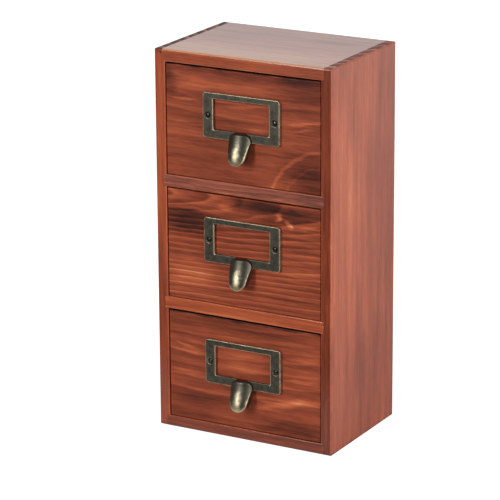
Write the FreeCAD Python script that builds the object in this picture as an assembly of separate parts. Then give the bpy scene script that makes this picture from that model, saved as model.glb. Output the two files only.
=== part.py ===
import FreeCAD, Part
import math
import os

# Small upright desk cabinet of stained pine: a glued case with housed shelves,
# a nailed back and drawers, each with a label frame and a cast finger pull.
# Millimetres. Origin at the middle of the case's base, +Z up, drawers open to -Y.

# Case
case_width = 135.0
case_depth = 95.0
case_height = 270.0
side_thickness = 8.0
shelf_thickness = 8.5
housing_depth = 2.0
back_thickness = 3.0
back_lap = 4.0
back_play = 0.3
drawer_count = 3

# Rounded edges of the case
front_arris = 1.4
back_arris = 2.5
long_arris = 1.8
end_round = 3.0
inner_arris = 0.7

# Drawer box
face_recess = 0.8
side_gap = 0.6
top_gap = 1.2
bottom_gap = 0.3
back_gap = 0.3
face_thickness = 8.5
face_arris = 0.7
wall_thickness = 6.0
wall_drop = 6.0
wall_arris = 0.8
corner_lap = 5.0
floor_thickness = 3.0
floor_height = 4.0
groove_depth = 3.0
groove_play = 0.2

# Brads that hold the back and the drawer corners
brad_radius = 0.6
brad_length = 12.0
brad_head_radius = 1.0
brad_head_thickness = 0.6
brad_inset = 12.0
back_brad_inset = 25.0

# Label frame: a plate on a returned rim, open at the top for the card
frame_width = 58.5
frame_height = 31.4
frame_lift = 7.0
frame_corner = 2.0
frame_plate = 1.2
frame_edge_round = 0.35
card_gap = 1.2
rim_width = 1.2
side_bar = 7.8
top_bar = 4.1
bottom_bar = 6.1
window_corner = 0.5

# Round-headed pins that hold the frame to the drawer
pin_spacing = 51.0
pin_shank_radius = 0.8
pin_head_radius = 1.4
pin_head_height = 0.7
pin_length = 9.0
pin_point = 1.6
pin_seat_depth = 1.0
pin_mouth_radius = 2.4
pin_boss_radius = 2.3

# Finger pull: a crowned hood that leaves the frame's lower bar, swells forward and is open below
pull_width = 16.2
pull_height = 21.3
pull_shoulder = 5.4
pull_taper = 9.2
pull_overhang = 0.2
pull_stand = 5.0
pull_reach = 9.0
pull_ease = 2.3
pull_crown_radius = 9.6
pull_wall = 1.6
pull_side_wall = 1.5
pull_flank = 5.6
pull_rim_round = 1.5
pull_sections = 9
rivet_radius = 0.9
rivet_spacing = 9.0

# How far a cutting shape runs past the face that it cuts
overrun = 1.0

front_y = -case_depth / 2
rear_y = case_depth / 2
back_face_y = rear_y - back_thickness
inner_half = case_width / 2 - side_thickness
shelf_half = inner_half + housing_depth
bay_height = (case_height - (drawer_count + 1) * shelf_thickness) / drawer_count
bay_pitch = bay_height + shelf_thickness

V = FreeCAD.Vector


def block(low, high):
    """Box between two corners."""
    size = V(*high) - V(*low)
    return Part.makeBox(size.x, size.y, size.z, V(*low))


def rounded_face(to_space, low, high, radii):
    """Rectangle with its own radius at each corner, in order round it from the low corner."""
    corners = ((low[0], low[1], 1, 1), (high[0], low[1], -1, 1),
               (high[0], high[1], -1, -1), (low[0], high[1], 1, -1))
    edges = []
    ends = []
    for index, ((u, v, inward_u, inward_v), radius) in enumerate(zip(corners, radii)):
        along_v = (u, v + inward_v * radius)
        along_u = (u + inward_u * radius, v)
        start, end = (along_v, along_u) if index % 2 == 0 else (along_u, along_v)
        ends.append((start, end))
        if radius > 0:
            bulge = radius * (1 - math.sqrt(0.5))
            middle = (u + inward_u * bulge, v + inward_v * bulge)
            edges.append(Part.Arc(to_space(*start), to_space(*middle), to_space(*end)).toShape())
    for (_, end), (start, _) in zip(ends, ends[1:] + ends[:1]):
        edges.append(Part.makeLine(to_space(*end), to_space(*start)))
    return Part.Face(Part.Wire(Part.__sortEdges__(edges)))


def edges_at_y(shape, y):
    """Edges that lie in the plane at y."""
    flat = 1e-6
    return [edge for edge in shape.Edges
            if abs(edge.BoundBox.YMin - y) < flat and abs(edge.BoundBox.YMax - y) < flat]


def case_envelope():
    """The case's outside as one block, with the radii worn and sanded on its edges."""
    half = case_width / 2
    side_view = rounded_face(lambda y, z: V(-half, y, z), (front_y, 0), (rear_y, case_height),
                             (end_round, end_round, end_round, front_arris))
    plan = rounded_face(lambda x, y: V(x, y, 0), (-half, front_y), (half, rear_y),
                        (front_arris, front_arris, back_arris, back_arris))
    front_view = rounded_face(lambda x, z: V(x, front_y, z), (-half, 0), (half, case_height),
                              (long_arris,) * 4)
    envelope = side_view.extrude(V(case_width, 0, 0))
    envelope = envelope.common(plan.extrude(V(0, 0, case_height)))
    return envelope.common(front_view.extrude(V(0, case_depth, 0)))


def shelf(bottom_z, rear, lower_arris, upper_arris):
    """One cross board, housed in both sides, with its front corners eased."""
    profile = rounded_face(lambda y, z: V(-shelf_half, y, z), (front_y, bottom_z),
                           (rear, bottom_z + shelf_thickness), (lower_arris, 0, 0, upper_arris))
    return profile.extrude(V(2 * shelf_half, 0, 0))


def shelf_housing(bottom_z):
    """Square-cut room for a cross board's ends in the sides."""
    return block((-shelf_half, front_y - overrun, bottom_z),
                 (shelf_half, rear_y + overrun, bottom_z + shelf_thickness))


def side_panel(hand):
    """Full-height side before its joints are cut; hand is -1 for left and 1 for right."""
    inner = hand * inner_half
    outer = hand * case_width / 2
    inner_first = hand > 0
    radii = (inner_arris, 0, 0, 0) if inner_first else (0, inner_arris, 0, 0)
    plan = rounded_face(lambda x, y: V(x, y, 0), (min(inner, outer), front_y),
                        (max(inner, outer), rear_y), radii)
    return plan.extrude(V(0, 0, case_height))


def brad(head, along):
    """A flat-headed brad, its head flush at the point head, driven the way of along."""
    shank = Part.makeCylinder(brad_radius, brad_length, head, along)
    cap = Part.makeCylinder(brad_head_radius, brad_head_thickness, head, along)
    return shank.fuse(cap).removeSplitter()


def back_brads():
    """Brads through the back panel: along both sides, and into every cross board."""
    lap_x = inner_half + back_lap / 2
    lap_low = shelf_thickness - back_lap / 2
    lap_high = case_height - lap_low
    spots = []
    for bay in range(drawer_count):
        middle = shelf_thickness + bay * bay_pitch + bay_height / 2
        spots += [(-lap_x, middle), (lap_x, middle)]
    rows = [lap_low, lap_high]
    rows += [bay * bay_pitch + shelf_thickness / 2 for bay in range(1, drawer_count)]
    for z in rows:
        spots += [(-inner_half + back_brad_inset, z), (inner_half - back_brad_inset, z)]
    return [brad(V(x, rear_y, z), V(0, -1, 0)) for x, z in spots]


def build_case():
    """The glued case: two sides, top, bottom, dividers, and the nailed back panel."""
    envelope = case_envelope()
    brads = Part.makeCompound(back_brads())
    panel_half = inner_half + back_lap
    panel_low = shelf_thickness - back_lap
    panel_high = case_height - panel_low
    back = block((-panel_half, back_face_y, panel_low), (panel_half, rear_y, panel_high))
    rebate = block((-panel_half - back_play, back_face_y, panel_low - back_play),
                   (panel_half + back_play, rear_y + overrun, panel_high + back_play))
    shelf_levels = [index * bay_pitch for index in range(drawer_count + 1)]

    nodes = {"back_panel": back.cut(brads), "back_panel_brads": brads}
    for name, hand in (("left_side_panel", -1), ("right_side_panel", 1)):
        panel = side_panel(hand).common(envelope)
        for level in shelf_levels:
            panel = panel.cut(shelf_housing(level))
        nodes[name] = panel.cut(rebate).cut(brads)

    bottom = shelf(shelf_levels[0], rear_y, 0, inner_arris).common(envelope)
    top = shelf(shelf_levels[-1], rear_y, inner_arris, 0).common(envelope)
    nodes["bottom_panel"] = bottom.cut(rebate).cut(brads)
    nodes["top_panel"] = top.cut(rebate).cut(brads)
    divider_names = ["lower_divider", "upper_divider"]
    divider_names += [f"divider_{index}" for index in range(3, drawer_count)]
    for name, level in zip(divider_names, shelf_levels[1:-1]):
        nodes[name] = shelf(level, back_face_y, inner_arris, inner_arris).cut(brads)
    return nodes


def frame_pin(x, z, face_y):
    """One round-headed pin, seated in the frame's countersink and driven into the drawer."""
    seat_y = face_y - card_gap - frame_plate + pin_seat_depth
    crown_y = seat_y - pin_head_height
    shoulder_y = crown_y + pin_head_height / 2
    point_y = crown_y + pin_length
    slant = math.sqrt(0.5)
    bulge = V(pin_head_radius * slant, shoulder_y - pin_head_height / 2 * slant, 0)
    outline = [Part.Arc(V(0, crown_y, 0), bulge, V(pin_head_radius, shoulder_y, 0)).toShape()]
    corners = [V(pin_head_radius, shoulder_y, 0), V(pin_head_radius, seat_y, 0),
               V(pin_shank_radius, seat_y, 0), V(pin_shank_radius, point_y - pin_point, 0),
               V(0, point_y, 0), V(0, crown_y, 0)]
    outline += [Part.makeLine(start, end) for start, end in zip(corners, corners[1:])]
    pin = Part.Face(Part.Wire(outline)).revolve(V(0, 0, 0), V(0, 1, 0), 360)
    pin.translate(V(x, 0, z))
    return pin


def label_frame(bottom_z, face_y):
    """Plate with a window, returned rim on three sides, and a boss round each pin hole."""
    half = frame_width / 2
    plate_back = face_y - card_gap
    plate_front = plate_back - frame_plate
    top_z = bottom_z + frame_height
    outline = rounded_face(lambda x, z: V(x, plate_front, z), (-half, bottom_z), (half, top_z),
                           (frame_corner,) * 4)
    window = rounded_face(lambda x, z: V(x, plate_front - overrun, z),
                          (-half + side_bar, bottom_z + bottom_bar), (half - side_bar, top_z - top_bar),
                          (window_corner,) * 4)
    plate = outline.extrude(V(0, frame_plate, 0))
    plate = plate.cut(window.extrude(V(0, frame_plate + 2 * overrun, 0)))
    plate = plate.makeFillet(frame_edge_round, edges_at_y(plate, plate_front))

    rim = outline.extrude(V(0, frame_plate + card_gap, 0))
    rim = rim.cut(block((-half + rim_width, plate_front - overrun, bottom_z + rim_width),
                        (half - rim_width, face_y + overrun, top_z + overrun)))
    rim = rim.common(block((-half, plate_back, bottom_z), (half, face_y, top_z)))
    frame = plate.fuse(rim)
    pin_z = bottom_z + frame_height / 2
    for x in (-pin_spacing / 2, pin_spacing / 2):
        boss = Part.makeCylinder(pin_boss_radius, card_gap, V(x, plate_back, pin_z), V(0, 1, 0))
        frame = frame.fuse(boss)
    for x in (-pin_spacing / 2, pin_spacing / 2):
        mouth = Part.makeCone(pin_mouth_radius, pin_head_radius, pin_seat_depth,
                              V(x, plate_front, pin_z), V(0, 1, 0))
        bore = Part.makeCylinder(pin_shank_radius, frame_plate + card_gap,
                                 V(x, plate_front, pin_z), V(0, 1, 0))
        frame = frame.cut(mouth).cut(bore)
    return frame.removeSplitter()


def pull_side(drop, inset):
    """Half width between the hood's straight sides at a drop below its top, drawn in by inset."""
    sine = math.sin(math.radians(pull_taper))
    cosine = math.cos(math.radians(pull_taper))
    shoulder_x = pull_width / 2 - pull_shoulder
    side_offset = shoulder_x * cosine + pull_shoulder * (1 + sine)
    return (side_offset - inset - drop * sine) / cosine


def pull_outline(apex_z, y):
    """Hood seen from the front: round shoulders, tapering sides and a round lip."""
    sine = math.sin(math.radians(pull_taper))
    cosine = math.cos(math.radians(pull_taper))
    shoulder_x = pull_width / 2 - pull_shoulder
    lip = pull_side(pull_height, 0) * cosine / (1 - sine)
    lip_drop = pull_height - lip
    halfway = math.radians((pull_taper - 90) / 2)

    def at(x, drop):
        return V(x, y, apex_z - drop)

    edges = [Part.makeLine(at(-shoulder_x, 0), at(shoulder_x, 0))]
    for hand in (-1, 1):
        crest = at(hand * shoulder_x, 0)
        middle = at(hand * (shoulder_x + pull_shoulder * math.cos(halfway)),
                    pull_shoulder * (1 + math.sin(halfway)))
        upper = at(hand * (shoulder_x + pull_shoulder * cosine), pull_shoulder * (1 + sine))
        lower = at(hand * lip * cosine, lip_drop + lip * sine)
        edges.append(Part.Arc(crest, middle, upper).toShape())
        edges.append(Part.makeLine(upper, lower))
    ends = [at(hand * lip * cosine, lip_drop + lip * sine) for hand in (-1, 1)]
    edges.append(Part.Arc(ends[0], at(0, pull_height), ends[1]).toShape())
    return Part.Face(Part.Wire(Part.__sortEdges__(edges)))


def pull_crown(apex_z, plate_front, depth_in):
    """Everything behind the hood's crowned face, sunk by depth_in below that face.

    Down its middle the face leaves the bar upright, swells forward and draws back a little
    at the lip: a cubic in the drop. Across, it is an arc of the crown radius.
    """
    half = pull_width / 2 + overrun
    sagitta = pull_crown_radius - math.sqrt(pull_crown_radius ** 2 - half ** 2)
    behind = sagitta + depth_in + overrun
    square = 1.5 * (1 + pull_ease)
    cube = 0.5 + 1.5 * pull_ease
    sections = []
    for index in range(pull_sections):
        share = index / (pull_sections - 1)
        drop = share * (pull_height + 2 * overrun) - overrun
        run = drop / pull_height
        forward = pull_stand + (pull_reach - pull_stand) * (square * run ** 2 - cube * run ** 3)
        crest_y = plate_front - forward + depth_in
        edge_y = crest_y + sagitta
        rear = plate_front + behind
        z = apex_z - drop
        arc = Part.Arc(V(-half, edge_y, z), V(0, crest_y, z), V(half, edge_y, z)).toShape()
        corners = [V(half, edge_y, z), V(half, rear, z), V(-half, rear, z), V(-half, edge_y, z)]
        lines = [Part.makeLine(start, end) for start, end in zip(corners, corners[1:])]
        sections.append(Part.Wire([arc] + lines))
    return Part.makeLoft(sections, True, False)


def finger_pull(bottom_z, face_y):
    """Cast hood: solid where it sits on the frame's bar, below it a crowned wall with side flanks."""
    plate_front = face_y - card_gap - frame_plate
    apex_z = bottom_z + bottom_bar + pull_overhang
    reach_out = 2 * pull_reach + overrun
    outline = pull_outline(apex_z, plate_front - reach_out).extrude(V(0, reach_out, 0))
    hood = outline.common(pull_crown(apex_z, plate_front, 0))
    curved = [face for face in hood.Faces if not isinstance(face.Surface, Part.Plane)]
    crown_face = max(curved, key=lambda face: face.Area)
    hood = hood.makeFillet(pull_rim_round, crown_face.Edges)

    bar_drop = apex_z - bottom_z
    low_drop = pull_height + overrun
    corners = [V(hand * pull_side(drop, pull_side_wall), plate_front - reach_out, apex_z - drop)
               for hand, drop in ((-1, bar_drop), (1, bar_drop), (1, low_drop), (-1, low_drop))]
    hollow = Part.Face(Part.makePolygon(corners + corners[:1])).extrude(V(0, 2 * reach_out, 0))
    below_bar = block((-pull_width, plate_front - reach_out, apex_z - low_drop),
                      (pull_width, plate_front + overrun, bottom_z))
    hood = hood.cut(hollow.common(pull_crown(apex_z, plate_front, pull_wall)))
    hood = hood.cut(below_bar.common(pull_crown(apex_z, plate_front, pull_flank)))
    rivet_z = bottom_z + bottom_bar / 2
    for x in (-rivet_spacing / 2, rivet_spacing / 2):
        rivet = Part.makeCylinder(rivet_radius, frame_plate, V(x, plate_front, rivet_z), V(0, 1, 0))
        hood = hood.fuse(rivet)
    return hood.removeSplitter()


def build_drawer(number):
    """One drawer: five boards, their brads, and the label frame with its pins and pull."""
    bay_z = shelf_thickness + (drawer_count - number) * bay_pitch
    low_z = bay_z + bottom_gap
    face_top = bay_z + bay_height - top_gap
    wall_top = face_top - wall_drop
    half = inner_half - side_gap
    inside = half - wall_thickness
    face_y = front_y + face_recess
    face_rear = face_y + face_thickness
    wall_front = face_rear - corner_lap
    end_y = back_face_y - back_gap
    floor_z = low_z + floor_height
    floor_top = floor_z + floor_thickness

    brads = []
    for hand in (-1, 1):
        for y in (face_rear - corner_lap / 2, end_y - wall_thickness / 2):
            for z in (floor_top + brad_inset, wall_top - brad_inset):
                brads.append(brad(V(hand * half, y, z), V(-hand, 0, 0)))
    brads = Part.makeCompound(brads)

    pin_z = (low_z + face_top) / 2 + frame_lift
    frame_bottom = pin_z - frame_height / 2
    pins = Part.makeCompound([frame_pin(x, pin_z, face_y) for x in (-pin_spacing / 2, pin_spacing / 2)])
    pull = finger_pull(frame_bottom, face_y)

    groove_half = inside + groove_depth
    groove = block((-groove_half, face_rear - groove_depth, floor_z),
                   (groove_half, end_y + overrun, floor_top))
    front = block((-half, face_y, low_z), (half, face_rear, face_top))
    front = front.makeFillet(face_arris, edges_at_y(front, face_y))
    walls = {}
    for name, hand in (("left_side", -1), ("right_side", 1)):
        near, far = sorted((hand * inside, hand * half))
        section = rounded_face(lambda x, z: V(x, wall_front, z), (near, low_z), (far, wall_top),
                               (0, 0, wall_arris, wall_arris))
        wall = section.extrude(V(0, end_y - wall_front, 0))
        walls[name] = wall.cut(groove).cut(brads)
        front = front.cut(block((near - overrun * (hand < 0), wall_front, low_z - overrun),
                                (far + overrun * (hand > 0), face_rear + overrun, face_top + overrun)))
    floor = block((-groove_half + groove_play, face_rear - groove_depth + groove_play, floor_z),
                  (groove_half - groove_play, end_y, floor_top))
    section = rounded_face(lambda y, z: V(-inside, y, z), (end_y - wall_thickness, floor_top),
                           (end_y, wall_top), (0, 0, wall_arris, wall_arris))
    rear = section.extrude(V(2 * inside, 0, 0))

    pieces = {"front": front.cut(groove).cut(brads).cut(pins)}
    pieces.update(walls)
    pieces["back"] = rear.cut(brads)
    pieces["bottom"] = floor
    pieces["brads"] = brads
    pieces["label_frame"] = label_frame(frame_bottom, face_y).cut(pull)
    pieces["frame_pins"] = pins
    pieces["finger_pull"] = pull
    return {f"drawer_{number}_{name}": shape for name, shape in pieces.items()}


def write_parts(nodes):
    """Write each node to its own STEP file."""
    os.makedirs("parts", exist_ok=True)
    for name, shape in nodes.items():
        shape.exportStep(os.path.join("parts", f"{name}.step"))
        print(f"{name}: {len(shape.Solids)} solid(s), valid {shape.isValid()}, {shape.Volume:.1f} mm3")


all_nodes = build_case()
for drawer_number in range(1, drawer_count + 1):
    all_nodes.update(build_drawer(drawer_number))
write_parts(all_nodes)
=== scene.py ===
"""Looks of a small upright desk cabinet: stained pine, three drawers, antique brass label frames.

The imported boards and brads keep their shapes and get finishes. The label frames, finger pulls and
pins are worked out again here, at the same size, as finer surfaces. Metres, +Z up, front at -Y.
"""

import logging
import math
from dataclasses import dataclass
from enum import Enum

import bpy
import numpy as np
from mathutils import Matrix, Vector


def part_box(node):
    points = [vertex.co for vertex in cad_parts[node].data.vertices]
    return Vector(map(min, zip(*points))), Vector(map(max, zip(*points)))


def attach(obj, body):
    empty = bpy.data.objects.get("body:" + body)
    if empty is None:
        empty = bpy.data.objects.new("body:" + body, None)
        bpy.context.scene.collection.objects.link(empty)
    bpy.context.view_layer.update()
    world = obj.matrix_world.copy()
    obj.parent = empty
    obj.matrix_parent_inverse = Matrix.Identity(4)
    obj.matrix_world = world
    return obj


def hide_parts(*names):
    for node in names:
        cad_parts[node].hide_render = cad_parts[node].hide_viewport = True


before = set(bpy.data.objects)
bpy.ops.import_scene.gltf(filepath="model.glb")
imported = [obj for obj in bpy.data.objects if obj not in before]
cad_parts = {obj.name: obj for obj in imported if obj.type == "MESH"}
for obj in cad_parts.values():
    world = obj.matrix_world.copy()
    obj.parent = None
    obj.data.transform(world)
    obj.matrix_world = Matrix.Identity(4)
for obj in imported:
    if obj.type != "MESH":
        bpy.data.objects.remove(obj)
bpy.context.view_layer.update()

MM = 0.001
LOG = logging.getLogger("desk_cabinet")


class Grain(Enum):
    """How a board lies in the cabinet: which axes run along, across and through its face."""

    FRONT = (0, 2, 1)
    SHELF = (0, 1, 2)
    UPRIGHT = (2, 1, 0)
    DRAWER_WALL = (1, 2, 0)
    BACK = (2, 0, 1)


def linear(hex_colour: str) -> tuple[float, float, float, float]:
    """Turn an sRGB hex colour into the linear values that shaders take.

    Args:
        hex_colour: colour such as "#8A4530".

    Returns:
        Linear red, green, blue and an alpha of 1.
    """
    srgb = np.array([int(hex_colour[place:place + 2], 16) for place in (1, 3, 5)]) / 255
    light = np.where(srgb <= 0.04045, srgb / 12.92, ((srgb + 0.055) / 1.055) ** 2.4)
    return (*(float(value) for value in light), 1.0)


def add(tree: bpy.types.NodeTree, kind: str, feeds: dict | tuple = (),
        stops: tuple = (), **settings: object) -> bpy.types.Node:
    """Add one node, set its options and feed its inputs.

    Args:
        tree: node tree that the node joins.
        kind: node type, without the "ShaderNode" that all of them start with.
        feeds: what goes into the inputs, in order or by name: nodes and sockets are linked, and
            values are set.
        stops: place and hex colour of each stop, for a colour ramp.
        settings: the node's own options.

    Returns:
        The new node.
    """
    node = tree.nodes.new("ShaderNode" + kind)
    for option, value in settings.items():
        setattr(node, option, value)
    for place, feed in feeds.items() if isinstance(feeds, dict) else enumerate(feeds):
        if isinstance(feed, bpy.types.Node):
            feed = feed.outputs[0]
        if isinstance(feed, bpy.types.NodeSocket):
            tree.links.new(feed, node.inputs[place])
        else:
            node.inputs[place].default_value = feed
    for index, (place, hex_colour) in enumerate(stops):
        elements = node.color_ramp.elements
        stop = elements[index] if index < len(elements) else elements.new(place)
        stop.position = place
        stop.color = linear(hex_colour)
    return node


def new_material(name: str) -> bpy.types.Material:
    """Make an empty node material."""
    material = bpy.data.materials.new(name)
    material.use_nodes = True
    material.node_tree.nodes.clear()
    return material


def paint(piece: bpy.types.Object, material: bpy.types.Material) -> None:
    """Put one material into all the slots of a piece."""
    for slot in piece.material_slots:
        slot.material = material


def stretched_noise(tree: bpy.types.NodeTree, place: bpy.types.Node,
                    sizes: tuple[float, float, float], seed: float, detail: float) -> bpy.types.Node:
    """Noise with blotches of a given length, width and depth.

    Args:
        tree: node tree of the material.
        place: place as along, across and through the face, in mm.
        sizes: length, width and depth of a blotch, in mm.
        seed: number that makes the noise its own.
        detail: how many finer layers the noise has.

    Returns:
        The noise node.
    """
    scale = tuple(1 / size for size in sizes)
    stretch = add(tree, "VectorMath", (place, scale), operation="MULTIPLY")
    return add(tree, "TexNoise", {"Vector": stretch, "W": seed, "Scale": 1.0, "Detail": detail},
               noise_dimensions="4D")


@dataclass(frozen=True)
class Mark:
    """A darker or a brighter place on a board, in mm from the middle of its face: a smoky or pale place
    in the stained figure, or painted light or shade.

    A hollow one is only the line round the place, as where a branch began beside the board.
    """

    along: float
    across: float
    half_length: float
    half_width: float
    strength: float
    tilt: float = 0.0
    hollow: bool = False


@dataclass(frozen=True)
class Figure:
    """How a board was sawn from its log: ring spacing, place of the pith and strength of the grain.

    Lengths are in mm from the middle of the board. The rings bend by slope * along + bow * along^2
    + fan * along * across, and the pith sinks away from the face by lean for each mm along it.
    Faces that look to the front change tone by front_tone. The top face can be darkened as painted
    shade, for the shadow in the gap above a closed drawer.
    """

    grain: Grain
    seed: float
    tone: float = 0.5
    ring_width: float = 5.0
    pith_across: float = 0.0
    pith_depth: float = 30.0
    lean: float = 0.0
    slope: float = 0.0
    bow: float = 0.0
    fan: float = 0.0
    wander: float = 5.0
    ring_contrast: float = 0.2
    streak_contrast: float = 0.2
    front_tone: float = 0.0
    painted_gap_shade: float = 0.0
    marks: tuple[Mark, ...] = ()


@dataclass(frozen=True)
class StainedPine:
    """Planed pine, rubbed with a red-brown stain to a satin sheen.

    The soft early wood drinks the stain and goes dark, the hard late wood stays orange, and the
    stain lies thick and smoky in places. Corners are rubbed paler. Lacquer, which only the top
    has, whitens at a grazing look. Fades and relief are in mm.
    """

    name: str
    shades: tuple[tuple[float, str], ...]
    gloss: float = 0.32
    polish: float = 0.5
    lacquer: float = 0.0
    lacquer_roughness: float = 0.2
    front_polish: float = 0.0
    rough_range: tuple[float, float] = (0.1, -0.04)
    end_rings: float = 0.2
    end_tone: float = -0.12
    end_roughness: float = 0.15
    end_fade: tuple[float, float] = (0.5, 0.1)
    face_fade: tuple[float, float] = (0.25, 0.05)
    edge_rub: float = 0.12
    relief_depth: float = 0.12

    def dress(self, node: str, figure: Figure) -> None:
        """Give one packed board its own stained pine.

        Args:
            node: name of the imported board.
            figure: how that board was sawn.
        """
        low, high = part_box(node)
        material = new_material(f"{self.name}_{node}")
        tree = material.node_tree
        half = [float(size) / 2 / MM for size in high - low]
        place = self.place_on_board(tree, (low + high) / 2)
        axes = add(tree, "SeparateXYZ", (place,)).outputs
        along, across, through = (axes[index] for index in figure.grain.value)
        sawn = add(tree, "CombineXYZ", (along, across, through))

        rings = self.growth_rings(tree, sawn, figure)
        smoke = self.smoke_and_streaks(tree, sawn, figure)
        edge = self.rubbed_edges(tree, place, half, figure.seed)
        ends = add(tree, "Math", (along,), operation="ABSOLUTE")
        reach = half[figure.grain.value[0]]
        starts, full = self.end_fade
        ends = add(tree, "MapRange", (ends, reach - starts, reach - full, 0.0, 1.0))

        tone = add(tree, "Math", (rings, figure.ring_contrast, smoke), operation="MULTIPLY_ADD")
        tone = add(tree, "Math", (edge, self.edge_rub, tone), operation="MULTIPLY_ADD")
        soaked = add(tree, "Math", (rings, self.end_rings, self.end_tone), operation="MULTIPLY_ADD")
        tone = add(tree, "Math", (ends, soaked, tone), operation="MULTIPLY_ADD")
        starts, full = self.face_fade
        front = add(tree, "MapRange", (axes["Y"], starts - half[1], full - half[1], 0.0, 1.0))
        tone = add(tree, "Math", (front, figure.front_tone, tone), operation="MULTIPLY_ADD")
        # Painted shade: the top face is darkened to stand in for the shadow in the gap above a closed
        # drawer.
        upper = add(tree, "MapRange", (axes["Z"], half[2] - starts, half[2] - full, 0.0, 1.0))
        tone = add(tree, "Math", (upper, figure.painted_gap_shade, tone), operation="MULTIPLY_ADD")
        colour = add(tree, "ValToRGB", (tone,), stops=self.shades)
        dull, glossy = (self.gloss + change for change in self.rough_range)
        rough = add(tree, "MapRange", (tone, 0.1, 0.9, dull, glossy))
        rough = add(tree, "Math", (ends, self.end_roughness, rough), operation="MULTIPLY_ADD")
        rough = add(tree, "Math", (front, -self.front_polish, rough), operation="MULTIPLY_ADD")
        relief = add(tree, "Bump", {"Height": tone, "Strength": 0.5,
                                    "Distance": self.relief_depth * MM})
        surface = add(tree, "BsdfPrincipled", {
            "Base Color": colour, "Roughness": rough, "Normal": relief,
            "Specular IOR Level": self.polish, "Coat Weight": self.lacquer,
            "Coat Roughness": self.lacquer_roughness})
        add(tree, "OutputMaterial", (surface,))
        paint(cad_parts[node], material)

    @staticmethod
    def place_on_board(tree: bpy.types.NodeTree, middle: Vector) -> bpy.types.Node:
        """Object coordinates as mm from the middle of a board.

        Args:
            tree: node tree of the board's material.
            middle: middle of the board, in metres.

        Returns:
            Node that gives the place.
        """
        place = add(tree, "TexCoord").outputs["Object"]
        centred = add(tree, "VectorMath", (place, tuple(-middle)), operation="ADD")
        return add(tree, "VectorMath", {0: centred, "Scale": 1 / MM}, operation="SCALE")

    @staticmethod
    def growth_rings(tree: bpy.types.NodeTree, sawn: bpy.types.Node,
                     figure: Figure) -> bpy.types.Node:
        """Growth rings round the pith: each starts bright, darkens slowly and ends sharply.

        The ring number is the distance from a leaning, bent pith line, shifted by a slow wander,
        over the ring width. Its fraction runs through the shade of one year's growth.

        Args:
            tree: node tree of the board's material.
            sawn: place as along, across and through the face, in mm.
            figure: how the board was sawn.

        Returns:
            Node that gives about -0.35 in the darkest wood to 0.65 in the brightest.
        """
        faintest = 0.25
        mean_shade = 0.35
        along, across, through = add(tree, "SeparateXYZ", (sawn,)).outputs
        bend = add(tree, "Math", (along, figure.bow, figure.slope), operation="MULTIPLY_ADD")
        bend = add(tree, "Math", (across, figure.fan, bend), operation="MULTIPLY_ADD")
        rise = add(tree, "Math", (bend, along), operation="MULTIPLY")
        level = add(tree, "Math", (across, rise), operation="SUBTRACT")
        level = add(tree, "Math", (level, figure.pith_across), operation="SUBTRACT")
        sink = add(tree, "Math", (along, figure.lean, figure.pith_depth), operation="MULTIPLY_ADD")
        depth = add(tree, "Math", (through, sink), operation="SUBTRACT")
        radius = add(tree, "CombineXYZ", (level, depth))
        radius = add(tree, "VectorMath", (radius,), operation="LENGTH").outputs["Value"]
        slow = stretched_noise(tree, sawn, (90.0, 16.0, 16.0), figure.seed, 2.0)
        radius = add(tree, "Math", (slow, 2 * figure.wander, radius), operation="MULTIPLY_ADD")
        count = add(tree, "Math", (radius, figure.ring_width), operation="DIVIDE")
        year = add(tree, "Math", (count,), operation="FLOOR")
        vigour = add(tree, "TexWhiteNoise", {"W": year}, noise_dimensions="1D")
        vigour = add(tree, "MapRange", (vigour.outputs["Value"], 0.0, 1.0, faintest, 1.0))
        season = add(tree, "Math", (count,), operation="FRACT")
        shade = add(tree, "ValToRGB", (season,), stops=(
            (0.0, "#404040"), (0.12, "#FFFFFF"), (0.34, "#C8C8C8"), (0.72, "#707070"),
            (0.94, "#202020")))
        shade = add(tree, "Math", (shade, mean_shade), operation="SUBTRACT")
        return add(tree, "Math", (shade, vigour), operation="MULTIPLY")

    @staticmethod
    def smoke_and_streaks(tree: bpy.types.NodeTree, sawn: bpy.types.Node,
                          figure: Figure) -> bpy.types.Node:
        """The tone without the rings: clouds, long streaks and fine fibre in the stain, and the listed
        marks, of which some are stain and some painted light or shade.

        Args:
            tree: node tree of the board's material.
            sawn: place as along, across and through the face, in mm.
            figure: how the board was sawn.

        Returns:
            Node that gives the tone without the rings.
        """
        # Length, width and weight of clouds, wide streaks, narrow streaks and fibre. Real fibre is
        # much finer than a pixel, so it is drawn coarser to show.
        sizes = ((60.0, 18.0, 0.7), (70.0, 4.5, 0.9), (45.0, 1.6, 0.8), (9.0, 0.8, 0.7))
        tone = figure.tone
        for order, (length, width, weight) in enumerate(sizes):
            share = weight * figure.streak_contrast
            noise = stretched_noise(tree, sawn, (length, width, width), figure.seed + order, 3.0)
            noise = add(tree, "Math", (noise, 0.5), operation="SUBTRACT")
            tone = add(tree, "Math", (noise, 2 * share, tone), operation="MULTIPLY_ADD")
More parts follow.
